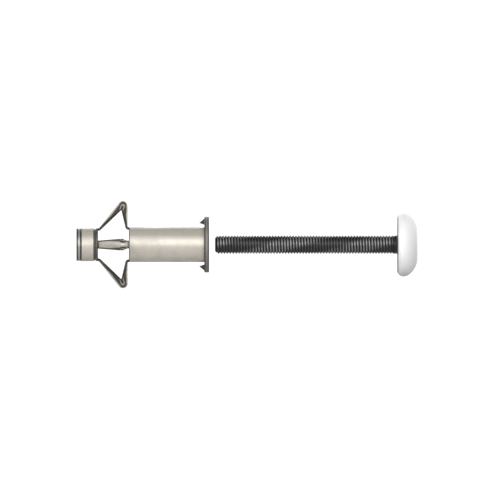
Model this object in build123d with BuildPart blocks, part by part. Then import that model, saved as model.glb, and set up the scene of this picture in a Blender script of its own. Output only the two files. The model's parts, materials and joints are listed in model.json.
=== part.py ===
from build123d import *
import os
from math import asin, atan2, cos, degrees, hypot, pi, sin, sqrt

# Hollow wall anchor, set in its wall, with its machine screw drawn out in line.
# Millimetres. +X runs out of the wall along the screw, +Z is up, and the origin
# is the centre of the flange's back face, which lies on the wall.

# Sleeve: one formed piece of sheet with a flange, a tube, folded legs and a collar
grip_length = 21.0
tube_diameter = 9.6
sheet_thickness = 0.65
flange_diameter = 15.3
flange_thickness = 1.3
flange_edge_radius = 0.25
mouth_radius = 0.6

# Barbs: pointed flaps cut in the flange and bent back into the wall
barb_count = 2
barb_length = 1.4
barb_width = 1.7
barb_thickness = 0.7
barb_rim_inset = 0.5
barb_tip_shift = 0.35
barb_bend_radius = 0.4

# Legs: rolled strips, each folded once against the wall's back face
leg_count = 4
leg_reach = 12.0
cage_length = 8.2
leg_collar_width = 2.25
leg_fold_width = 3.2
leg_tube_width = 2.1
leg_fold_rise = 1.4
fold_radius = 1.35
fold_inner_radius = 0.12
fold_sections = 9
collar_bend_radius = 0.5
tube_bend_radius = 0.3

# Collar: the sleeve's far end, rolled into a groove round the nut
collar_diameter = 9.1
collar_length = 4.65
collar_edge_radius = 0.2
crimp_width = 0.7
crimp_depth = 0.22
crimp_inset = 0.85
crimp_clearance = 0.1

# Nut
nut_shoulder_diameter = 8.9
nut_shoulder_length = 1.25
nut_shoulder_chamfer = 0.4
nut_shoulder_edge_radius = 0.2
nut_lead_in = 0.45
nut_fit = 0.02

# Screw
screw_diameter = 5.0
screw_length = 50.0
screw_standoff = 1.65
tip_chamfer = 0.7
thread_clearance = 0.05
neck_radius = 0.3
head_diameter = 17.5
head_height = 5.6
head_rim_radius = 1.6
head_flat_diameter = 7.0
dome_fullness = 0.52

# Cross recess in the head
recess_span = 5.0
recess_wing = 1.3
recess_depth = 2.9
recess_core_diameter = 2.4
recess_floor_diameter = 1.6

# Places along the axis
wall_back = -grip_length
tube_end = wall_back + tube_bend_radius
collar_front = wall_back - cage_length
collar_back = collar_front - collar_length
nut_back = collar_back - nut_shoulder_length
crimp_centre = collar_front - crimp_inset
tip_end = flange_thickness + screw_standoff
head_seat = tip_end + screw_length
head_top = head_seat + head_height

# Radii
tube_radius = tube_diameter / 2
tube_bore_radius = tube_radius - sheet_thickness
flange_radius = flange_diameter / 2
collar_radius = collar_diameter / 2
collar_bore_radius = collar_radius - sheet_thickness
screw_radius = screw_diameter / 2
nut_bore_radius = screw_radius + thread_clearance
head_radius = head_diameter / 2


def station(x, z, angle):
    """Plane across a leg's path, which runs at this angle from +X; its y is outwards."""
    heading = (cos(angle), 0, sin(angle))
    return Plane(origin=(x, 0, z), x_dir=(0, 1, 0), z_dir=heading)


def wall_section(plane, radius, width):
    """Section of a strip cut from a round wall, its crown at the plane's origin."""
    spread = asin(width / 2 / radius)
    inner = radius - sheet_thickness
    corner = (radius * sin(spread), radius * cos(spread) - radius)
    inner_corner = (inner * sin(spread), inner * cos(spread) - radius)
    with BuildSketch(plane) as section:
        with BuildLine():
            ThreePointArc((-corner[0], corner[1]), (0, 0), corner)
            Line(corner, inner_corner)
            ThreePointArc(
                inner_corner, (0, -sheet_thickness), (-inner_corner[0], inner_corner[1])
            )
            Line((-inner_corner[0], inner_corner[1]), (-corner[0], corner[1]))
        make_face()
    return section.sketch.face()


def fold_section(plane, stretch=1.0):
    """Section of a leg at its fold, where it is rolled tighter, its crown at the origin.

    stretch is how much taller an oblique cut across the fold is than a square one.
    """
    half = leg_fold_width / 2
    rise = leg_fold_rise * stretch
    inner_half = half - sheet_thickness * sin(fold_flank)
    inner_depth = rise + sheet_thickness * cos(fold_flank) * stretch
    inner_pull = inner_depth - 2 * sheet_thickness * stretch
    with BuildSketch(plane) as section:
        with BuildLine():
            Bezier((-half, -rise), (0, rise), (half, -rise))
            Line((half, -rise), (inner_half, -inner_depth))
            Bezier((inner_half, -inner_depth), (0, inner_pull), (-inner_half, -inner_depth))
            Line((-inner_half, -inner_depth), (-half, -rise))
        make_face()
    return section.sketch.face()


# The leg's outline in the XZ plane. Its crown leaves the collar on a small bend,
# runs straight up to the fold and comes back down along the wall's back face.
collar_bend = (collar_front, collar_radius + collar_bend_radius)
tube_bend = (tube_end, tube_radius + tube_bend_radius)
fold_centre = (wall_back - fold_radius, leg_reach - fold_radius)
run_x = fold_centre[0] - collar_bend[0]
run_z = fold_centre[1] - collar_bend[1]
slope = atan2(run_z, run_x) + asin((fold_radius + collar_bend_radius) / hypot(run_x, run_z))
slope_start = (
    collar_bend[0] + collar_bend_radius * sin(slope),
    collar_bend[1] - collar_bend_radius * cos(slope),
)

# The fold turns about a line just under the strip's inner corners. Cuts that fan
# out from that line are stretched by how far off the crown's outline is there.
fold_flank = atan2(2 * leg_fold_rise, leg_fold_width / 2)
fold_depth = leg_fold_rise + sheet_thickness * cos(fold_flank) + fold_inner_radius
half_opening = (pi / 2 - slope) / 2
fan_drop = (fold_depth - fold_radius) / sin(half_opening)
fan_pivot = (
    fold_centre[0] - fan_drop * sin(half_opening),
    fold_centre[1] - fan_drop * cos(half_opening),
)
fan_angle = pi / 2 + slope
round_half_angle = fan_angle / 2 - atan2(fold_centre[1] - fan_pivot[1], fold_depth)


def crown_distance(angle):
    """Distance from the fan's pivot to the crown's outline, at this angle from +X."""
    off_middle = abs(angle - fan_angle / 2)
    if off_middle < round_half_angle:
        half_chord = sqrt(fold_radius**2 - (fan_drop * sin(off_middle)) ** 2)
        return fan_drop * cos(off_middle) + half_chord
    return fold_depth / cos(fan_angle / 2 - off_middle)


# The leg's square cuts at the collar, at the foot of each run and at the fold's ends,
# with the oblique ones between those
at_collar = wall_section(station(collar_front, collar_radius, 0), collar_radius, leg_collar_width)
slope_foot = wall_section(station(*slope_start, slope), collar_radius, leg_collar_width)
seat_foot = wall_section(
    station(wall_back, tube_bend[1], -pi / 2), tube_radius, leg_tube_width
)
fold_cuts = []
for step in range(fold_sections):
    cut_angle = fan_angle * (1 - step / (fold_sections - 1))
    reach = crown_distance(cut_angle)
    cut_plane = station(
        fan_pivot[0] + reach * cos(cut_angle),
        fan_pivot[1] + reach * sin(cut_angle),
        cut_angle - pi / 2,
    )
    fold_cuts.append(fold_section(cut_plane, reach / fold_depth))

with BuildPart() as leg:
    revolve(
        at_collar,
        axis=Axis((collar_bend[0], 0, collar_bend[1]), (0, -1, 0)),
        revolution_arc=degrees(slope),
    )
    loft([slope_foot, fold_cuts[0]], ruled=True)
    loft(fold_cuts)
    loft([fold_cuts[-1], seat_foot], ruled=True)
    revolve(
        seat_foot,
        axis=Axis((tube_bend[0], 0, tube_bend[1]), (0, -1, 0)),
        revolution_arc=90,
    )

# Barb on the flange's +Z side: the flap, and the window it was cut from
barb_foot = flange_radius - barb_rim_inset - barb_width
barb_head = flange_radius - barb_rim_inset
barb_tip = (barb_foot + barb_head) / 2 - barb_tip_shift

with BuildPart() as barb_window:
    with BuildSketch(Plane.YZ):
        with BuildLine():
            Polyline(
                (barb_bend_radius - barb_thickness / 2, barb_foot),
                (-barb_thickness / 2, barb_foot),
                (-barb_thickness / 2 - barb_length, barb_tip),
                (-barb_thickness / 2, barb_head),
                (barb_bend_radius - barb_thickness / 2, barb_head),
                close=True,
            )
        make_face()
    extrude(amount=flange_thickness)
    # The flap's foot is rounded where it bends down out of the flange's front face
    bend_start = (flange_thickness, barb_bend_radius - barb_thickness / 2)
    bend_end = (flange_thickness - barb_bend_radius, -barb_thickness / 2)
    with BuildSketch(Plane.XY):
        with BuildLine():
            RadiusArc(bend_start, bend_end, barb_bend_radius)
            Polyline(
                bend_end,
                (0, bend_end[1]),
                (0, bend_end[1] - barb_length),
                (flange_thickness, bend_end[1] - barb_length),
                bend_start,
            )
        make_face()
    extrude(amount=barb_head, mode=Mode.INTERSECT)

with BuildPart() as barb:
    with BuildSketch(Plane.XZ.offset(-barb_thickness / 2)):
        with BuildLine():
            Polyline(
                (flange_thickness / 2, barb_foot),
                (0, barb_foot),
                (-barb_length, barb_tip),
                (0, barb_head),
                (flange_thickness / 2, barb_head),
                close=True,
            )
        make_face()
    extrude(amount=barb_thickness)

with BuildPart() as sleeve:
    # Flange and tube
    with BuildSketch(Plane.XZ):
        with BuildLine():
            Polyline(
                (tube_end, tube_bore_radius),
                (flange_thickness, tube_bore_radius),
                (flange_thickness, flange_radius),
                (0, flange_radius),
                (0, tube_radius),
                (tube_end, tube_radius),
                close=True,
            )
        make_face()
    revolve(axis=Axis.X)
    round_edges = sleeve.edges().filter_by(GeomType.CIRCLE)
    fillet(round_edges.group_by(SortBy.RADIUS)[-1], flange_edge_radius)
    front_edges = sleeve.edges().filter_by(GeomType.CIRCLE).group_by(Axis.X)[-1]
    fillet(front_edges.sort_by(SortBy.RADIUS)[0], mouth_radius)
    # Barbs and their windows
    for index in range(barb_count):
        turn = 360 / barb_count * index
        add(barb_window.part.rotate(Axis.X, turn), mode=Mode.SUBTRACT)
        add(barb.part.rotate(Axis.X, turn))
    # Collar with its rolled groove
    with BuildSketch(Plane.XZ):
        with BuildLine():
            Polyline(
                (crimp_centre - crimp_width / 2, collar_bore_radius),
                (collar_back, collar_bore_radius),
                (collar_back, collar_radius),
                (crimp_centre - crimp_width / 2, collar_radius),
            )
            ThreePointArc(
                (crimp_centre - crimp_width / 2, collar_radius),
                (crimp_centre, collar_radius - crimp_depth),
                (crimp_centre + crimp_width / 2, collar_radius),
            )
            Polyline(
                (crimp_centre + crimp_width / 2, collar_radius),
                (collar_front, collar_radius),
                (collar_front, collar_bore_radius),
                (crimp_centre + crimp_width / 2, collar_bore_radius),
            )
            ThreePointArc(
                (crimp_centre + crimp_width / 2, collar_bore_radius),
                (crimp_centre, collar_bore_radius - crimp_depth),
                (crimp_centre - crimp_width / 2, collar_bore_radius),
            )
        make_face()
    revolve(axis=Axis.X)
    rear_edges = sleeve.edges().filter_by(GeomType.CIRCLE).group_by(Axis.X)[0]
    fillet(rear_edges.sort_by(SortBy.RADIUS)[-1], collar_edge_radius)
    # Legs
    for index in range(leg_count):
        add(leg.part.rotate(Axis.X, 360 / leg_count * index))
sleeve.part.label = "sleeve"

nut_radius = collar_bore_radius - nut_fit
nut_shoulder_radius = nut_shoulder_diameter / 2
nut_groove_half = crimp_width / 2 + crimp_clearance

with BuildPart() as nut:
    with BuildSketch(Plane.XZ) as nut_profile:
        with BuildLine():
            Polyline(
                (crimp_centre - nut_groove_half, nut_radius),
                (collar_back, nut_radius),
                (collar_back, nut_shoulder_radius),
                (nut_back, nut_shoulder_radius),
                (nut_back, nut_bore_radius),
                (collar_front, nut_bore_radius),
                (collar_front, nut_radius),
                (crimp_centre + nut_groove_half, nut_radius),
            )
            ThreePointArc(
                (crimp_centre + nut_groove_half, nut_radius),
                (crimp_centre, nut_radius - crimp_depth - crimp_clearance),
                (crimp_centre - nut_groove_half, nut_radius),
            )
        make_face()
        chamfer(nut_profile.vertices().group_by(Axis.Y)[0], nut_lead_in)
        shoulder_corners = nut_profile.vertices().group_by(Axis.Y)[-1].sort_by(Axis.X)
        fillet(shoulder_corners[-1], nut_shoulder_edge_radius)
        chamfer(shoulder_corners[0], nut_shoulder_chamfer)
    revolve(axis=Axis.X)
nut.part.label = "nut"

# Cross recess: two crossed wings cut down to a cone
with BuildPart() as recess:
    with BuildSketch(Plane.YZ.offset(head_top)) as cross:
        Rectangle(recess_span, recess_wing)
        Rectangle(recess_wing, recess_span)
        Circle(recess_core_diameter / 2)
    extrude(amount=-recess_depth)
    with BuildSketch(Plane.XZ):
        with BuildLine():
            Polyline(
                (head_top, 0),
                (head_top, recess_span / 2),
                (head_top - recess_depth, recess_floor_diameter / 2),
                (head_top - recess_depth, 0),
                close=True,
            )
        make_face()
    revolve(axis=Axis.X, mode=Mode.INTERSECT)

rim = (head_seat + head_rim_radius, head_radius)
flat = (head_top, head_flat_diameter / 2)

with BuildPart() as screw:
    with BuildSketch(Plane.XZ) as screw_profile:
        with BuildLine():
            Polyline(
                (head_top, 0),
                (tip_end, 0),
                (tip_end, screw_radius),
                (head_seat, screw_radius),
                (head_seat, head_radius),
                rim,
            )
            Bezier(
                rim,
                (rim[0] + dome_fullness * (flat[0] - rim[0]), rim[1]),
                (flat[0], flat[1] + dome_fullness * (rim[1] - flat[1])),
                flat,
            )
            Line(flat, (head_top, 0))
        make_face()
        corners = screw_profile.vertices()
        chamfer(corners.sort_by_distance((tip_end, screw_radius))[0], tip_chamfer)
        corners = screw_profile.vertices()
        fillet(corners.sort_by_distance((head_seat, screw_radius))[0], neck_radius)
        corners = screw_profile.vertices()
        fillet(corners.sort_by_distance((head_seat, head_radius))[0], head_rim_radius)
    revolve(axis=Axis.X)
    add(recess.part, mode=Mode.SUBTRACT)
screw.part.label = "screw"

os.makedirs("parts", exist_ok=True)
export_step(sleeve.part, "parts/sleeve.step")
export_step(nut.part, "parts/nut.step")
export_step(screw.part, "parts/screw.step")

print("slope of the legs, degrees:", round(degrees(slope), 2))
print("inner corner of the fold:", round(fan_pivot[0], 2), round(fan_pivot[1], 2))
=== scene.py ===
"""Hollow wall anchor: the threads, finishes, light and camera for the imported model.

Lengths are in metres, and in millimetres inside the finishes. +X runs out of the wall
along the screw and +Z is up.
"""

import json
import math

import bmesh
import bpy
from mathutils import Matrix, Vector


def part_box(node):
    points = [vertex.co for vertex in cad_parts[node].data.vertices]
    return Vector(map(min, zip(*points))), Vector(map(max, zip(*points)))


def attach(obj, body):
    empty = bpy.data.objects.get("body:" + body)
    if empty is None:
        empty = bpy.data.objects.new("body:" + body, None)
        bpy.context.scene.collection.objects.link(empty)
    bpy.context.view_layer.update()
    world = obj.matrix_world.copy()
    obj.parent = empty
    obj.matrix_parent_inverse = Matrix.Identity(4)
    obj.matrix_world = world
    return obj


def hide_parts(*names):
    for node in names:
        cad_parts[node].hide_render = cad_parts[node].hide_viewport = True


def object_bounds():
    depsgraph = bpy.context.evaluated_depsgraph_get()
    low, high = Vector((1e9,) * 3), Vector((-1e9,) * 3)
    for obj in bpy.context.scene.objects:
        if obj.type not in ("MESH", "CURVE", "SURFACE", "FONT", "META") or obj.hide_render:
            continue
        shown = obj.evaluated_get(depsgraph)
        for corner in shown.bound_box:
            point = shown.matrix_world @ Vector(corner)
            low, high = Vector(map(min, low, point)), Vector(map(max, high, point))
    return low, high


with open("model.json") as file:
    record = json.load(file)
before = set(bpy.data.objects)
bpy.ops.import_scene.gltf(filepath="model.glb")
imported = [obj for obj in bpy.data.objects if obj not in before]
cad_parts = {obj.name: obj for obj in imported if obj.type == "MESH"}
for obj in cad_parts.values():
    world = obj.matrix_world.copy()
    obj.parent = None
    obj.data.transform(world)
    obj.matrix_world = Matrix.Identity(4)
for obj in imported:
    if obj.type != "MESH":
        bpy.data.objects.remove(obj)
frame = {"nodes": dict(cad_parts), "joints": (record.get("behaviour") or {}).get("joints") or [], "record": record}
bpy.context.view_layer.update()
cad_low, cad_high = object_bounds()
mounts = {mount["name"]: mount for mount in frame["record"]["mounts"]}
sleeve_low, sleeve_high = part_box("sleeve")
nut_low, nut_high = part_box("nut")
screw_low, screw_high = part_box("screw")

MM = 0.001

# Places along the screw's axis
FLANGE_FRONT = mounts["fixture_face"]["pos_m"][0]
HEAD_SEAT = mounts["head_seat"]["pos_m"][0]
WALL_BACK = 2 * mounts["drilled_hole"]["pos_m"][0]
TUBE_END = WALL_BACK + 0.3 * MM
COLLAR_FRONT = nut_high.x
COLLAR_BACK = sleeve_low.x
NUT_BACK = nut_low.x
SCREW_TIP = screw_low.x
GROOVE_CENTRE = COLLAR_FRONT - 0.85 * MM
GROOVE_HALF = 0.35 * MM

# Distances from the screw's axis
LEG_REACH = sleeve_high.z
LEG_FOOT_HALF = 1.08 * MM
LEG_FOLD_HALF = 1.6 * MM
LEG_BORDER = 0.45 * MM
FLANGE_RADIUS = 7.65 * MM
TUBE_RADIUS = 4.8 * MM
COLLAR_BORE_RADIUS = 3.9 * MM

# M5 coarse thread, right-handed
PITCH = 0.8 * MM
CREST_RADIUS = 2.5 * MM
ROOT_RADIUS = 2.2 * MM
ROOT_DIP = 0.02 * MM
CREST_FLAT = 0.3 * MM
ROOT_FLAT = PITCH / 4
STEPS_PER_TURN = 64
RUN_OUT = 1.0 * MM
RUN_OUT_END = PITCH / 8
TIP_CHAMFER = 0.7 * MM
TIP_RINGS = 4
NECK_CUT = 0.35 * MM
HEAD_FINISH_START = HEAD_SEAT - 0.05 * MM
LACQUER_EDGE = HEAD_SEAT + 0.42 * MM

# The nut's thread clears the screw's all round
NUT_CREST_RADIUS = 2.24 * MM
NUT_ROOT_RADIUS = 2.545 * MM
NUT_BORE_RADIUS = 2.55 * MM
NUT_LEAD_IN = 0.45 * MM
NUT_THREAD_INSET = PITCH / 16
NUT_THREAD_FADE = 1.2
THREAD_CLEARANCE = 0.03 * MM

# Long streaks of painted highlight on the thread's crests, wound twice round it
STREAK_PITCH = 22.5 * MM
STREAK_STARTS = 2
STREAK_PHASE = 1.63

# The studio: a pale wall all round, between a darker ceiling and a pale floor
WALL_LIGHT = 1.12
CEILING_LIGHT = 0.03
CEILING_GLOSS = 0.15
FLOOR_DROP = 6 * MM
FLOOR_SIZE = 2.0
FLOOR_SEEN = 0.9
FLOOR_BOUNCE = 0.4
FLOOR_GLOW = 0.4

# Watts from a square metre of lamp at brightness 1
LAMP_POWER = 4

# The camera's place before the axis, its field, and the field's middle beside the model's
VIEW_DISTANCE = 0.5
VIEW_WIDTH = 134.5 * MM
VIEW_SHIFT = -0.56 * MM
VIEW_LIFT = -0.11 * MM

MERGE_DISTANCE = 0.0004 * MM
SHARP_ANGLE = math.radians(32)

# Near black, for painted shade along edges, corners, grooves and seams, and for the darkened barbs
NEAR_BLACK = (0.03, 0.028, 0.026, 1)


# ---------------------------------------------------------------- mesh helpers


def new_piece(name, bm, materials):
    """A finished object at the origin from a bmesh, smooth but for its sharp edges."""
    for face in bm.faces:
        face.smooth = True
    for edge in bm.edges:
        edge.smooth = not edge.is_manifold or edge.calc_face_angle() < SHARP_ANGLE
    mesh = bpy.data.meshes.new(name)
    bm.to_mesh(mesh)
    bm.free()
    for material in materials:
        mesh.materials.append(material)
    piece = bpy.data.objects.new(name, mesh)
    bpy.context.scene.collection.objects.link(piece)
    return piece


def merged_copy(node):
    """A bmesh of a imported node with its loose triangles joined."""
    bm = bmesh.new()
    bm.from_mesh(frame["nodes"][node].data)
    bmesh.ops.remove_doubles(bm, verts=bm.verts, dist=MERGE_DISTANCE)
    return bm


def take_in(bm, other):
    """Adds the other bmesh to this one and frees it."""
    mesh = bpy.data.meshes.new("taken_in")
    other.to_mesh(mesh)
    other.free()
    bm.from_mesh(mesh)
    bpy.data.meshes.remove(mesh)


def cut_off(bm, x, side):
    """Removes all that lies beyond the plane at x, on the side of +1 or -1."""
    bmesh.ops.bisect_plane(
        bm,
        geom=bm.verts[:] + bm.edges[:] + bm.faces[:],
        dist=MERGE_DISTANCE / 4,
        plane_co=(x, 0, 0),
        plane_no=(side, 0, 0),
        clear_outer=True,
    )


def score(bm, x):
    """Adds a ring of edges where the plane at x crosses the mesh."""
    bmesh.ops.bisect_plane(
        bm,
        geom=bm.verts[:] + bm.edges[:] + bm.faces[:],
        dist=MERGE_DISTANCE / 4,
        plane_co=(x, 0, 0),
        plane_no=(1, 0, 0),
    )


def rim(bm, x):
    """The open edges that lie in the plane at x."""
    return [
        edge
        for edge in bm.edges
        if edge.is_boundary and all(abs(v.co.x - x) < MERGE_DISTANCE for v in edge.verts)
    ]


def radius_of(point):
    """Distance from the screw's axis."""
    return math.hypot(point.y, point.z)


def set_radius(vert, radius):
    """Moves a vertex straight out or in to that distance from the screw's axis."""
    ratio = radius / radius_of(vert.co)
    vert.co.y *= ratio
    vert.co.z *= ratio


def thread(bm, profile, start, end, phase):
    """Spins one pitch of profile into a right-hand thread that covers start to end.

    profile is a list of (along the axis, radius) over one pitch. phase is where it begins
    straight ahead of the axis, on the +Y side.
    """
    first = phase + PITCH * math.floor((start - PITCH - phase) / PITCH)
    turns = math.ceil((end + PITCH - first) / PITCH)
    chain = [bm.verts.new((first + along, radius, 0)) for along, radius in profile]
    edges = [bm.edges.new(pair) for pair in zip(chain, chain[1:])]
    bmesh.ops.spin(
        bm,
        geom=chain + edges,
        cent=(0, 0, 0),
        axis=(1, 0, 0),
        dvec=(PITCH / STEPS_PER_TURN, 0, 0),
        angle=math.tau,
        steps=STEPS_PER_TURN,
    )
    one_turn = bm.verts[:] + bm.edges[:] + bm.faces[:]
    for turn in range(1, turns):
        made = bmesh.ops.duplicate(bm, geom=one_turn)["geom"]
        verts = [item for item in made if isinstance(item, bmesh.types.BMVert)]
        bmesh.ops.translate(bm, verts=verts, vec=(PITCH * turn, 0, 0))
    bmesh.ops.remove_doubles(bm, verts=bm.verts, dist=MERGE_DISTANCE)


# ---------------------------------------------------------------- shader helpers


class Nodes:
    """Adds and links the nodes of one material or node group."""

    def __init__(self, tree):
        self.tree = tree

    def add(self, kind, inputs=None, **settings):
        node = self.tree.nodes.new("ShaderNode" + kind)
        for name, value in settings.items():
            setattr(node, name, value)
        for name, value in (inputs or {}).items():
            socket = node.inputs[name]
            if isinstance(value, bpy.types.NodeSocket):
                self.tree.links.new(value, socket)
            else:
                socket.default_value = value
        return node

    def math(self, operation, *values, clamp=False):
        inputs = dict(enumerate(values))
        return self.add("Math", inputs, operation=operation, use_clamp=clamp).outputs[0]

    def all_of(self, first, *others):
        """The product of some masks."""
        for other in others:
            first = self.math("MULTIPLY", first, other)
        return first

    def ramp(self, value, low, high, out_low=0.0, out_high=1.0):
        """value from low to high, smoothly mapped to out_low to out_high."""
        inputs = {
            "Value": value,
            "From Min": low,
            "From Max": high,
            "To Min": out_low,
            "To Max": out_high,
        }
        return self.add("MapRange", inputs, interpolation_type="SMOOTHSTEP").outputs[0]

    def band(self, value, low, high, soft):
        """1 where value lies between low and high, and fading over soft beyond them."""
        off_middle = self.math("ABSOLUTE", self.math("SUBTRACT", value, (low + high) / 2))
        half = (high - low) / 2
        return self.ramp(off_middle, half + soft, half)

    def blend(self, amount, first, second):
        """The number first at amount 0, and second at 1."""
        return self.add("Mix", {0: amount, 2: first, 3: second}, data_type="FLOAT").outputs[0]

    def cover(self, colour, amount, second, share=1.0):
        """The colour with another over it, by a mask and a share of it."""
        if share < 1:
            amount = self.math("MULTIPLY", amount, share)
        return self.add("Mix", {0: amount, 6: colour, 7: second}, data_type="RGBA").outputs[2]

    def blackened(self, colour, *masks):
        """The colour darkened near black by masks that each come with a share, mostly painted shade."""
        for mask, share in masks:
            colour = self.cover(colour, mask, NEAR_BLACK, share)
        return colour

    def bump(self, height, strength, distance):
        """A normal that follows the height."""
        inputs = {"Strength": strength, "Distance": distance, "Height": height}
        return self.add("Bump", inputs).outputs[0]

    def group(self, name, **inputs):
        node = self.add("Group", node_tree=bpy.data.node_groups[name])
        for key, value in inputs.items():
            node.inputs[key.replace("_", " ").capitalize()].default_value = value
        return node.outputs


def effect(name, inputs, outputs):
    """A new node group with number inputs and outputs, as its Nodes, its start and its end."""
    tree = bpy.data.node_groups.new(name, "ShaderNodeTree")
    for label, default in inputs.items():
        socket = tree.interface.new_socket(label, in_out="INPUT", socket_type="NodeSocketFloat")
        socket.default_value = default
    for label in outputs:
        tree.interface.new_socket(label, in_out="OUTPUT", socket_type="NodeSocketFloat")
    start = tree.nodes.new("NodeGroupInput").outputs
    end = tree.nodes.new("NodeGroupOutput").inputs
    return Nodes(tree), start, end


def new_material(name):
    material = bpy.data.materials.new(name)
    material.use_nodes = True
    material.node_tree.nodes.clear()
    return material, Nodes(material.node_tree)


def finish_with(nodes, shader):
    nodes.add("OutputMaterial", {"Surface": shader.outputs[0]})


def grey(value):
    """A linear grey of that lightness."""
    return (value, value, value, 1)


def in_mm(length):
    """A length of the model as the finishes count it."""
    return length / MM


# ---------------------------------------------------------------- shared effects


def build_from_axis():
    """Distance from the screw's axis and place along it in millimetres, and angle round it."""
    nodes, _, end = effect("from_axis", {}, ["Radius", "Along", "Angle"])
    place = nodes.add("TexCoord").outputs["Object"]
    axes = nodes.add("SeparateXYZ", {0: place}).outputs
    across = nodes.add("CombineXYZ", {1: axes[1], 2: axes[2]}).outputs[0]
    length = nodes.add("VectorMath", {0: across}, operation="LENGTH").outputs["Value"]
    nodes.tree.links.new(nodes.math("DIVIDE", length, MM), end["Radius"])
    nodes.tree.links.new(nodes.math("DIVIDE", axes[0], MM), end["Along"])
    nodes.tree.links.new(nodes.math("ARCTAN2", axes[2], axes[1]), end["Angle"])


def build_mottle():
    """Soft clouds and small spots, as in a plated or lacquered skin."""
    sizes = {"Cloud size": 2.0, "Spot size": 0.3}
    nodes, start, end = effect("mottle", sizes, ["Clouds", "Spots"])
    place = nodes.add("TexCoord").outputs["Object"]
    for size, out in zip(sizes, ("Clouds", "Spots")):
        scale = nodes.math("DIVIDE", 1 / MM, start[size])
        inputs = {"Vector": place, "Scale": scale, "Detail": 4.0, "Roughness": 0.55}
        noise = nodes.add("TexNoise", inputs).outputs[0]
        nodes.tree.links.new(nodes.ramp(noise, 0.32, 0.68), end[out])


def build_tool_marks():
    """Fine lines, turned round the screw's axis at Drawn 0 and drawn along it at Drawn 1."""
    nodes, start, end = effect("tool_marks", {"Line width": 0.05, "Drawn": 0.0}, ["Height"])
    axis = nodes.group("from_axis")
    turned_along = nodes.math("DIVIDE", axis["Along"], start["Line width"])
    drawn_along = nodes.math("MULTIPLY", turned_along, 0.02)
    turned_round = nodes.math("MULTIPLY", axis["Angle"], 0.6)
    drawn_round = nodes.math("MULTIPLY", axis["Angle"], 40.0)
    lines = {
        0: nodes.blend(start["Drawn"], turned_along, drawn_along),
        1: nodes.blend(start["Drawn"], turned_round, drawn_round),
        2: nodes.math("DIVIDE", axis["Radius"], start["Line width"]),
    }
    vector = nodes.add("CombineXYZ", lines).outputs[0]
    inputs = {"Vector": vector, "Scale": 1.0, "Detail": 2.0, "Roughness": 0.6}
    nodes.tree.links.new(nodes.add("TexNoise", inputs).outputs[0], end["Height"])


def build_edge_line():
    """1 along outer and inner edges, broken up by a fine noise; used to paint shade along edges."""
    nodes, start, end = effect("edge_line", {"Width": 0.1, "Break up": 0.5}, ["Mask"])
    width = nodes.math("MULTIPLY", start["Width"], MM)
    rounded = nodes.add("Bevel", {"Radius": width}, samples=6).outputs[0]
    true = nodes.add("NewGeometry").outputs["Normal"]
    match = nodes.add("VectorMath", {0: rounded, 1: true}, operation="DOT_PRODUCT")
    edge = nodes.ramp(match.outputs["Value"], 0.995, 0.86)
    place = nodes.add("TexCoord").outputs["Object"]
    noise = nodes.add("TexNoise", {"Vector": place, "Scale": 1400.0, "Detail": 3.0}).outputs[0]
    broken = nodes.math("MULTIPLY", nodes.ramp(noise, 0.62, 0.36), start["Break up"])
    kept = nodes.math("SUBTRACT", 1.0, broken)
    nodes.tree.links.new(nodes.math("MULTIPLY", edge, kept, clamp=True), end["Mask"])


def build_crevice():
    """1 deep in corners and grooves, where little light reaches; used to paint shade there."""
    nodes, start, end = effect("crevice", {"Reach": 0.8}, ["Mask"])
    reach = nodes.math("MULTIPLY", start["Reach"], MM)
    open_share = nodes.add("AmbientOcclusion", {"Distance": reach}, samples=8).outputs["AO"]
    shut = nodes.ramp(open_share, 0.75, 0.25)
    place = nodes.add("TexCoord").outputs["Object"]
    noise = nodes.add("TexNoise", {"Vector": place, "Scale": 900.0, "Detail": 3.0}).outputs[0]
    uneven = nodes.ramp(noise, 0.3, 0.7, 0.6, 1.0)
    nodes.tree.links.new(nodes.math("MULTIPLY", shut, uneven, clamp=True), end["Mask"])


# ---------------------------------------------------------------- finishes


def leg_masks(nodes, axis):
    """Masks on the legs: painted shade on the flanks and borders, the sheet's cut sides, a painted highlight line.
    """
    radius = axis["Radius"]
    reach = in_mm(LEG_REACH)
    border = in_mm(LEG_BORDER)
    coords = nodes.add("TexCoord").outputs
    place = nodes.add("SeparateXYZ", {0: coords["Object"]}).outputs
    facing = nodes.add("SeparateXYZ", {0: coords["Normal"]}).outputs
    upright = nodes.math(
        "GREATER_THAN", nodes.math("ABSOLUTE", place[2]), nodes.math("ABSOLUTE", place[1])
    )

    # How squarely a point faces one side of its leg, and how far in it lies from that side
    sideways = nodes.math("ABSOLUTE", nodes.blend(upright, facing[2], facing[1]))
    across = nodes.math("ABSOLUTE", nodes.blend(upright, place[2], place[1]))
    widening = {
        "Value": radius,
        "From Min": in_mm(TUBE_RADIUS),
        "From Max": reach,
        "To Min": in_mm(LEG_FOOT_HALF),
        "To Max": in_mm(LEG_FOLD_HALF),
    }
    half_width = nodes.add("MapRange", widening).outputs[0]
    from_side = nodes.math("SUBTRACT", half_width, nodes.math("DIVIDE", across, MM))

    in_cage = nodes.band(axis["Along"], in_mm(COLLAR_FRONT), in_mm(TUBE_END), 0.05)
    below_fold = nodes.ramp(radius, reach - 2.0, reach - 2.5)
    near_fold = nodes.ramp(radius, reach - 5.0, reach - 3.0)
    on_flank = nodes.ramp(sideways, 0.58, 0.75)
    on_border = nodes.ramp(from_side, border, border - 0.25)
    # Painted shade where a leg's surface turns sideways and along its borders, and a painted highlight line near
    # the fold
    painted_flank_shade = nodes.all_of(nodes.math("MAXIMUM", on_flank, on_border), in_cage)
    cut = nodes.all_of(nodes.ramp(sideways, 0.86, 0.97), in_cage, below_fold)
    painted_highlight = nodes.all_of(nodes.band(sideways, 0.86, 0.89, 0.02), in_cage, near_fold)
    return painted_flank_shade, cut, painted_highlight


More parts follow.
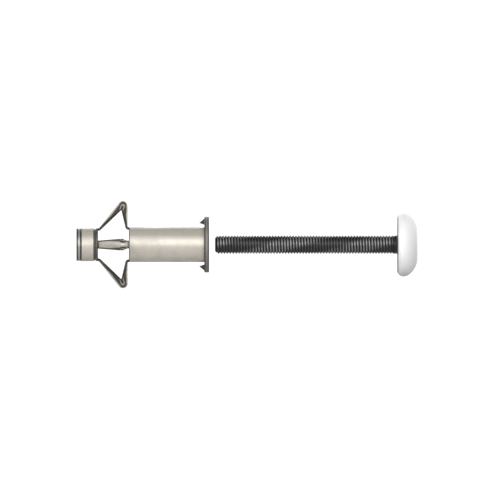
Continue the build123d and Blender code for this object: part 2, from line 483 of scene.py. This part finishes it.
def flange_masks(nodes, axis):
    """The flange's rim, and the painted shade on its corners and the darkened barbs, as masks and shares."""
    rim_radius = in_mm(FLANGE_RADIUS)
    half = in_mm(FLANGE_FRONT) / 2
    on_rim = nodes.all_of(
        nodes.ramp(axis["Radius"], rim_radius - 0.3, rim_radius - 0.05),
        nodes.math("GREATER_THAN", axis["Along"], -0.2),
    )
    off_middle = nodes.math("ABSOLUTE", nodes.math("SUBTRACT", axis["Along"], half))
    # Painted shade along the flange's two corners
    corners = nodes.all_of(nodes.ramp(off_middle, half - 0.45, half - 0.2), on_rim)
    barbs = nodes.all_of(
        nodes.band(axis["Along"], -3.0, -0.05, 0.05),
        nodes.math("GREATER_THAN", axis["Radius"], in_mm(TUBE_RADIUS) + 0.4),
    )
    return on_rim, ((corners, 0.95), (barbs, 1.0))


def collar_masks(nodes, axis):
    """Painted shade round the collar and at the tube's open end, as masks and shares."""
    along = axis["Along"]
    front = in_mm(COLLAR_FRONT)
    back = in_mm(COLLAR_BACK)
    tube_radius = in_mm(TUBE_RADIUS)
    groove_end = in_mm(GROOVE_CENTRE + GROOVE_HALF)
    # Painted shade in the groove, at the collar's back seam, over its front rim and lip, at the legs' roots and
    # round the tube's open end
    outside = nodes.math("GREATER_THAN", axis["Radius"], in_mm(COLLAR_BORE_RADIUS))
    groove_half = in_mm(GROOVE_HALF)
    off_groove = nodes.math("ABSOLUTE", nodes.math("SUBTRACT", along, in_mm(GROOVE_CENTRE)))
    groove = nodes.all_of(nodes.ramp(off_groove, groove_half + 0.12, groove_half), outside)
    seam = nodes.all_of(nodes.ramp(along, back + 0.32, back + 0.12), outside)
    past_groove = nodes.all_of(nodes.band(along, groove_end, front - 0.2, 0.1), outside)
    lip = nodes.all_of(nodes.band(along, front - 0.22, front, 0.08), outside)
    leg_roots = nodes.band(along, front - 0.05, front + 0.25, 0.12)
    tube_lip = nodes.all_of(
        nodes.band(along, in_mm(WALL_BACK) + 0.1, in_mm(TUBE_END) + 0.2, 0.1),
        nodes.ramp(axis["Radius"], tube_radius + 0.4, tube_radius + 0.1),
    )
    return (
        (groove, 0.88),
        (seam, 0.85),
        (past_groove, 0.75),
        (lip, 0.95),
        (leg_roots, 0.95),
        (tube_lip, 0.75),
    )


def zinc_plate():
    """Warm grey zinc on formed sheet, darker and rougher where the sheet was cut, with painted shade and a painted
    highlight line on the legs.
    """
    material, nodes = new_material("zinc_plate")
    mottle = nodes.group("mottle", cloud_size=3.5, spot_size=0.35)
    marks = nodes.group("tool_marks", line_width=0.09, drawn=1.0)
    edge = nodes.group("edge_line", width=0.25, break_up=0.3)
    crevice = nodes.group("crevice", reach=1.2)
    axis = nodes.group("from_axis")
    painted_flank_shade, cut, painted_highlight = leg_masks(nodes, axis)
    on_rim, on_flange = flange_masks(nodes, axis)
    sheared = nodes.math("MAXIMUM", cut, on_rim)

    colour = (0.6, 0.557, 0.492, 1)
    colour = nodes.cover(colour, mottle["Clouds"], (0.47, 0.434, 0.384, 1), 0.5)
    colour = nodes.cover(colour, mottle["Spots"], (0.67, 0.632, 0.57, 1), 0.22)
    # Painted shade on the legs' flanks and borders, and a painted highlight line near their folds
    colour = nodes.cover(colour, painted_flank_shade, (0.03, 0.028, 0.026, 1), 0.95)
    colour = nodes.cover(colour, painted_highlight, (0.5, 0.465, 0.41, 1), 0.7)
    colour = nodes.cover(colour, cut, (0.07, 0.065, 0.06, 1), 0.95)
    colour = nodes.cover(colour, on_rim, (0.21, 0.198, 0.185, 1), 0.95)
    # Painted shade at the flange's corners and round the collar, and the barbs darkened
    colour = nodes.blackened(colour, *on_flange, *collar_masks(nodes, axis))
    # Painted shade along the edges and deep in corners and grooves
    colour = nodes.blackened(colour, (edge["Mask"], 0.85), (crevice["Mask"], 0.85))
    roughness = nodes.ramp(mottle["Clouds"], 0.0, 1.0, 0.36, 0.46)
    roughness = nodes.math("ADD", roughness, nodes.math("MULTIPLY", sheared, 0.16), clamp=True)
    inputs = {
        "Base Color": colour,
        "Metallic": 0.5,
        "Roughness": roughness,
        "Normal": nodes.bump(marks["Height"], 0.25, 0.02 * MM),
    }
    finish_with(nodes, nodes.add("BsdfPrincipled", inputs))
    return material


def turned_steel():
    """Cooler, duller plating over a lathe-turned nut, with painted shade at its back corner and at the collar's
    seam.
    """
    material, nodes = new_material("turned_steel")
    mottle = nodes.group("mottle", cloud_size=1.6, spot_size=0.25)
    marks = nodes.group("tool_marks", line_width=0.12, drawn=0.0)
    edge = nodes.group("edge_line", width=0.24, break_up=0.3)
    crevice = nodes.group("crevice", reach=0.7)
    axis = nodes.group("from_axis")
    along = axis["Along"]
    nut_back = in_mm(NUT_BACK)
    collar_back = in_mm(COLLAR_BACK)
    bore = in_mm(COLLAR_BORE_RADIUS)
    # Painted shade at the nut's back corner and in the seam where the collar's back meets it
    corner = nodes.all_of(
        nodes.ramp(along, nut_back + 0.6, nut_back + 0.3),
        nodes.ramp(axis["Radius"], bore, bore + 0.2),
    )
    seam = nodes.all_of(
        nodes.band(along, collar_back - 0.2, collar_back + 0.1, 0.15),
        nodes.ramp(axis["Radius"], bore - 0.3, bore),
    )

    colour = (0.44, 0.418, 0.392, 1)
    colour = nodes.cover(colour, mottle["Clouds"], (0.33, 0.313, 0.294, 1), 0.6)
    colour = nodes.cover(colour, mottle["Spots"], (0.46, 0.44, 0.415, 1), 0.2)
    colour = nodes.blackened(colour, (corner, 0.9), (seam, 0.9))
    # Painted shade along the edges and deep in corners and grooves
    colour = nodes.blackened(colour, (edge["Mask"], 0.8), (crevice["Mask"], 0.85))
    inputs = {
        "Base Color": colour,
        "Metallic": 0.7,
        "Roughness": nodes.ramp(marks["Height"], 0.3, 0.7, 0.34, 0.46),
        "Normal": nodes.bump(marks["Height"], 0.4, 0.02 * MM),
    }
    finish_with(nodes, nodes.add("BsdfPrincipled", inputs))
    return material


def oiled_thread():
    """Dark oiled steel: near black in the thread's roots, a little lighter on its crests, with painted highlight
    streaks there.
    """
    material, nodes = new_material("oiled_thread")
    mottle = nodes.group("mottle", cloud_size=2.2, spot_size=0.2)
    marks = nodes.group("tool_marks", line_width=0.05, drawn=0.0)
    axis = nodes.group("from_axis")
    crest = nodes.all_of(
        nodes.ramp(axis["Radius"], in_mm(ROOT_RADIUS) + 0.1, in_mm(CREST_RADIUS)),
        nodes.ramp(axis["Along"], in_mm(HEAD_SEAT) - 1.0, in_mm(HEAD_SEAT) - 1.6),
    )
    turn = nodes.math(
        "ADD",
        nodes.math("MULTIPLY", axis["Along"], math.tau / in_mm(STREAK_PITCH)),
        nodes.math("MULTIPLY", axis["Angle"], float(STREAK_STARTS)),
    )
    streak = nodes.math("SINE", nodes.math("ADD", turn, STREAK_PHASE))
    # Painted highlight: the crests lit grey along the streaks
    painted_highlight = nodes.all_of(
        crest,
        nodes.ramp(streak, -0.6, 0.6, 0.06, 1.0),
        nodes.ramp(mottle["Clouds"], 0.0, 1.0, 0.6, 1.0),
    )
    colour = (0.02, 0.02, 0.022, 1)
    colour = nodes.cover(colour, crest, (0.055, 0.054, 0.058, 1))
    colour = nodes.cover(colour, painted_highlight, (0.42, 0.415, 0.43, 1), 0.64)
    colour = nodes.cover(colour, mottle["Spots"], (0.045, 0.042, 0.038, 1), 0.25)
    inputs = {
        "Base Color": colour,
        "Metallic": 0.5,
        "Roughness": nodes.ramp(mottle["Spots"], 0.0, 1.0, 0.32, 0.44),
        "Normal": nodes.bump(marks["Height"], 0.2, 0.01 * MM),
    }
    finish_with(nodes, nodes.add("BsdfPrincipled", inputs))
    return material


def white_lacquer():
    """Stoved white lacquer on the head, with painted shade along its edges and in the recess, and bare steel
    underneath.
    """
    material, nodes = new_material("white_lacquer")
    mottle = nodes.group("mottle", cloud_size=4.0, spot_size=0.25)
    edge = nodes.group("edge_line", width=0.08, break_up=0.7)
    crevice = nodes.group("crevice", reach=1.5)
    colour = (0.96, 0.96, 0.955, 1)
    colour = nodes.cover(colour, mottle["Clouds"], (0.92, 0.92, 0.91, 1), 0.5)
    # Painted shade: grey along the head's edges and dark deep in the recess
    colour = nodes.cover(colour, edge["Mask"], (0.6, 0.59, 0.57, 1), 0.3)
    colour = nodes.cover(colour, crevice["Mask"], (0.26, 0.25, 0.24, 1), 0.65)
    along = nodes.group("from_axis")["Along"]
    bare = nodes.ramp(along, in_mm(LACQUER_EDGE), in_mm(LACQUER_EDGE) - 0.22)
    colour = nodes.cover(colour, bare, (0.05, 0.05, 0.052, 1), 0.95)
    inputs = {
        "Base Color": colour,
        "Metallic": 0.0,
        "Roughness": nodes.ramp(mottle["Clouds"], 0.0, 1.0, 0.42, 0.5),
        "Normal": nodes.bump(mottle["Spots"], 0.12, 0.02 * MM),
        "Specular IOR Level": 0.25,
    }
    finish_with(nodes, nodes.add("BsdfPrincipled", inputs))
    return material


# ---------------------------------------------------------------- threaded pieces


def screw_profile():
    """One pitch of the screw's thread, from root to root, with a rounded root."""
    middle = PITCH / 2
    return [
        (ROOT_FLAT / 2, ROOT_RADIUS),
        (middle - CREST_FLAT / 2, CREST_RADIUS),
        (middle + CREST_FLAT / 2, CREST_RADIUS),
        (PITCH - ROOT_FLAT / 2, ROOT_RADIUS),
        (PITCH, ROOT_RADIUS - ROOT_DIP),
        (PITCH + ROOT_FLAT / 2, ROOT_RADIUS),
    ]


def nut_profile():
    """One pitch of the nut's thread: a groove that clears the screw's ridge, and a crest."""
    middle = PITCH / 2
    slope = (PITCH / 2 - ROOT_FLAT / 2 - CREST_FLAT / 2) / (CREST_RADIUS - ROOT_RADIUS)
    groove = CREST_FLAT / 2 + THREAD_CLEARANCE
    mouth = groove + slope * (NUT_ROOT_RADIUS - NUT_CREST_RADIUS)
    return [
        (middle - mouth, NUT_CREST_RADIUS),
        (middle - groove, NUT_ROOT_RADIUS),
        (middle + groove, NUT_ROOT_RADIUS),
        (middle + mouth, NUT_CREST_RADIUS),
        (middle - mouth + PITCH, NUT_CREST_RADIUS),
    ]


def make_screw(shank_finish, head_finish):
    """The machine screw, threaded from its tip up to its head."""
    neck = HEAD_SEAT - NECK_CUT
    thread_end = neck - RUN_OUT_END

    shank = bmesh.new()
    thread(shank, screw_profile(), SCREW_TIP, neck, SCREW_TIP)
    cut_off(shank, SCREW_TIP, -1)
    cut_off(shank, thread_end, 1)
    for ring in range(1, TIP_RINGS + 1):
        score(shank, SCREW_TIP + TIP_CHAMFER * ring / TIP_RINGS)
    run_out_slope = (CREST_RADIUS - ROOT_RADIUS) / RUN_OUT
    for vert in shank.verts:
        chamfered = CREST_RADIUS - TIP_CHAMFER + (vert.co.x - SCREW_TIP)
        faded = CREST_RADIUS - (thread_end - vert.co.x) * run_out_slope
        set_radius(vert, min(chamfered, max(faded, radius_of(vert.co))))
    bmesh.ops.edgeloop_fill(shank, edges=rim(shank, SCREW_TIP))

    head = merged_copy("screw")
    cut_off(head, neck, -1)
    take_in(shank, head)
    bmesh.ops.bridge_loops(shank, edges=rim(shank, neck) + rim(shank, thread_end))
    bmesh.ops.recalc_face_normals(shank, faces=shank.faces)
    for face in shank.faces:
        face.material_index = int(face.calc_center_median().x > HEAD_FINISH_START)
    return new_piece("machine_screw", shank, [shank_finish, head_finish])


def make_nut(finish):
    """The turned nut with its internal thread, in step with the screw when that is home."""
    travel = frame["joints"][0]["range_m"][1]
    start = nut_low.x + NUT_LEAD_IN
    end = nut_high.x - NUT_LEAD_IN

    nut = merged_copy("nut")
    widest = NUT_BORE_RADIUS + MERGE_DISTANCE * 10
    bore = [face for face in nut.faces if all(radius_of(v.co) < widest for v in face.verts)]
    bmesh.ops.delete(nut, geom=bore, context="FACES")

    wall = bmesh.new()
    thread(wall, nut_profile(), start, end, SCREW_TIP - travel)
    cut_off(wall, start + NUT_THREAD_INSET, -1)
    cut_off(wall, end - NUT_THREAD_INSET, 1)
    for vert in wall.verts:
        depth = min(vert.co.x - start, end - vert.co.x) - NUT_THREAD_INSET
        opened = NUT_BORE_RADIUS - max(depth, 0) * NUT_THREAD_FADE
        set_radius(vert, max(opened, radius_of(vert.co)))
    take_in(nut, wall)
    for outer, inner in ((start, start + NUT_THREAD_INSET), (end, end - NUT_THREAD_INSET)):
        bmesh.ops.bridge_loops(nut, edges=rim(nut, outer) + rim(nut, inner))
    bmesh.ops.recalc_face_normals(nut, faces=nut.faces)
    return new_piece("threaded_nut", nut, [finish])


# ---------------------------------------------------------------- floor, light, camera


def make_floor():
    """A pale floor just under the anchor that keeps its soft shadow."""
    material, nodes = new_material("pale_floor")
    path = nodes.add("LightPath").outputs
    seen = nodes.math("MAXIMUM", path["Is Camera Ray"], path["Is Glossy Ray"])
    seen = nodes.math("MAXIMUM", seen, path["Is Transmission Ray"])
    pale = nodes.blend(path["Is Camera Ray"], FLOOR_BOUNCE, FLOOR_SEEN)
    lit = nodes.add("BsdfDiffuse", {"Color": pale})
    strength = nodes.math("MULTIPLY", seen, FLOOR_GLOW)
    glow = nodes.add("Emission", {"Color": grey(1.0), "Strength": strength})
    both = nodes.add("AddShader", {0: lit.outputs[0], 1: glow.outputs[0]})
    clear = nodes.add("BsdfTransparent")
    under = nodes.add("NewGeometry").outputs["Backfacing"]
    finish_with(nodes, nodes.add("MixShader", {0: under, 1: both.outputs[0], 2: clear.outputs[0]}))
    bm = bmesh.new()
    bmesh.ops.create_grid(bm, x_segments=1, y_segments=1, size=FLOOR_SIZE)
    bmesh.ops.translate(bm, verts=bm.verts, vec=(0, 0, cad_low.z - FLOOR_DROP))
    floor = new_piece("floor", bm, [material])


def make_world():
    """White behind the object, and a wall of light that fades towards ceiling and floor."""
    world = bpy.data.worlds.new("studio")
    bpy.context.scene.world = world
    world.use_nodes = True
    world.node_tree.nodes.clear()
    nodes = Nodes(world.node_tree)
    path = nodes.add("LightPath").outputs
    direction = nodes.add("TexCoord").outputs["Generated"]
    height = nodes.math("ABSOLUTE", nodes.add("SeparateXYZ", {0: direction}).outputs[2])
    in_gloss = nodes.ramp(height, 0.6, 0.95, 1.0, CEILING_GLOSS)
    in_gloss = nodes.math("MULTIPLY", path["Is Glossy Ray"], in_gloss)
    seen = nodes.math("MAXIMUM", path["Is Camera Ray"], path["Is Transmission Ray"])
    seen = nodes.math("MAXIMUM", seen, in_gloss)
    light = nodes.ramp(height, 0.2, 0.6, WALL_LIGHT, CEILING_LIGHT)
    strength = nodes.math("MAXIMUM", seen, light)
    sky = nodes.add("Background", {"Color": grey(1.0), "Strength": strength})
    nodes.add("OutputWorld", {"Surface": sky.outputs[0]})


def make_lamps():
    """Softboxes on the screw's two sides, a fill in front and a small lamp overhead.

    Metal mirrors the softboxes only. The overhead lamp casts the shadow on the floor.
    """
    centre = (cad_low + cad_high) / 2
    for name, place, size, brightness, in_gloss in (
        ("front_softbox", (-0.06, -0.6, 0.03), 0.75, 1.3, True),
        ("front_fill", (-0.06, -0.6, 0.03), 0.75, 2.6, False),
        ("back_softbox", (0.12, 0.62, 0.03), 0.75, 1.3, True),
        ("shadow_lamp", (0.02, -0.04, 0.6), 0.18, 6.0, False),
    ):
        lamp = bpy.data.lights.new(name, "AREA")
        lamp.shape = "SQUARE"
        lamp.size = size
        lamp.energy = brightness * LAMP_POWER * size**2
        obj = bpy.data.objects.new(name, lamp)
        obj.visible_glossy = in_gloss
        obj.location = centre + Vector(place)
        obj.rotation_euler = (-Vector(place)).to_track_quat("-Z", "Y").to_euler()
        bpy.context.scene.collection.objects.link(obj)


def make_camera():
    """Square on to the screw's side, with the anchor's axis level."""
    camera = bpy.data.cameras.new("camera")
    camera.type = "ORTHO"
    camera.ortho_scale = VIEW_WIDTH
    camera.clip_start = 0.01
    camera.clip_end = 5.0
    obj = bpy.data.objects.new("camera", camera)
    obj.location = ((cad_low.x + cad_high.x) / 2 + VIEW_SHIFT, -VIEW_DISTANCE, VIEW_LIFT)
    obj.rotation_euler = (math.radians(90), 0, 0)
    bpy.context.scene.collection.objects.link(obj)
    bpy.context.scene.camera = obj


# ---------------------------------------------------------------- the part

build_from_axis()
build_mottle()
build_tool_marks()
build_edge_line()
build_crevice()

sleeve = frame["nodes"]["sleeve"]
sleeve.material_slots[0].material = zinc_plate()

threaded_nut = make_nut(turned_steel())
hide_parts("nut")
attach(threaded_nut, "anchor")

machine_screw = make_screw(oiled_thread(), white_lacquer())
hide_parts("screw")
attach(machine_screw, "screw")

make_floor()
make_world()
make_lamps()
make_camera()
bpy.context.scene.view_settings.view_transform = "Standard"

bpy.context.view_layer.update()
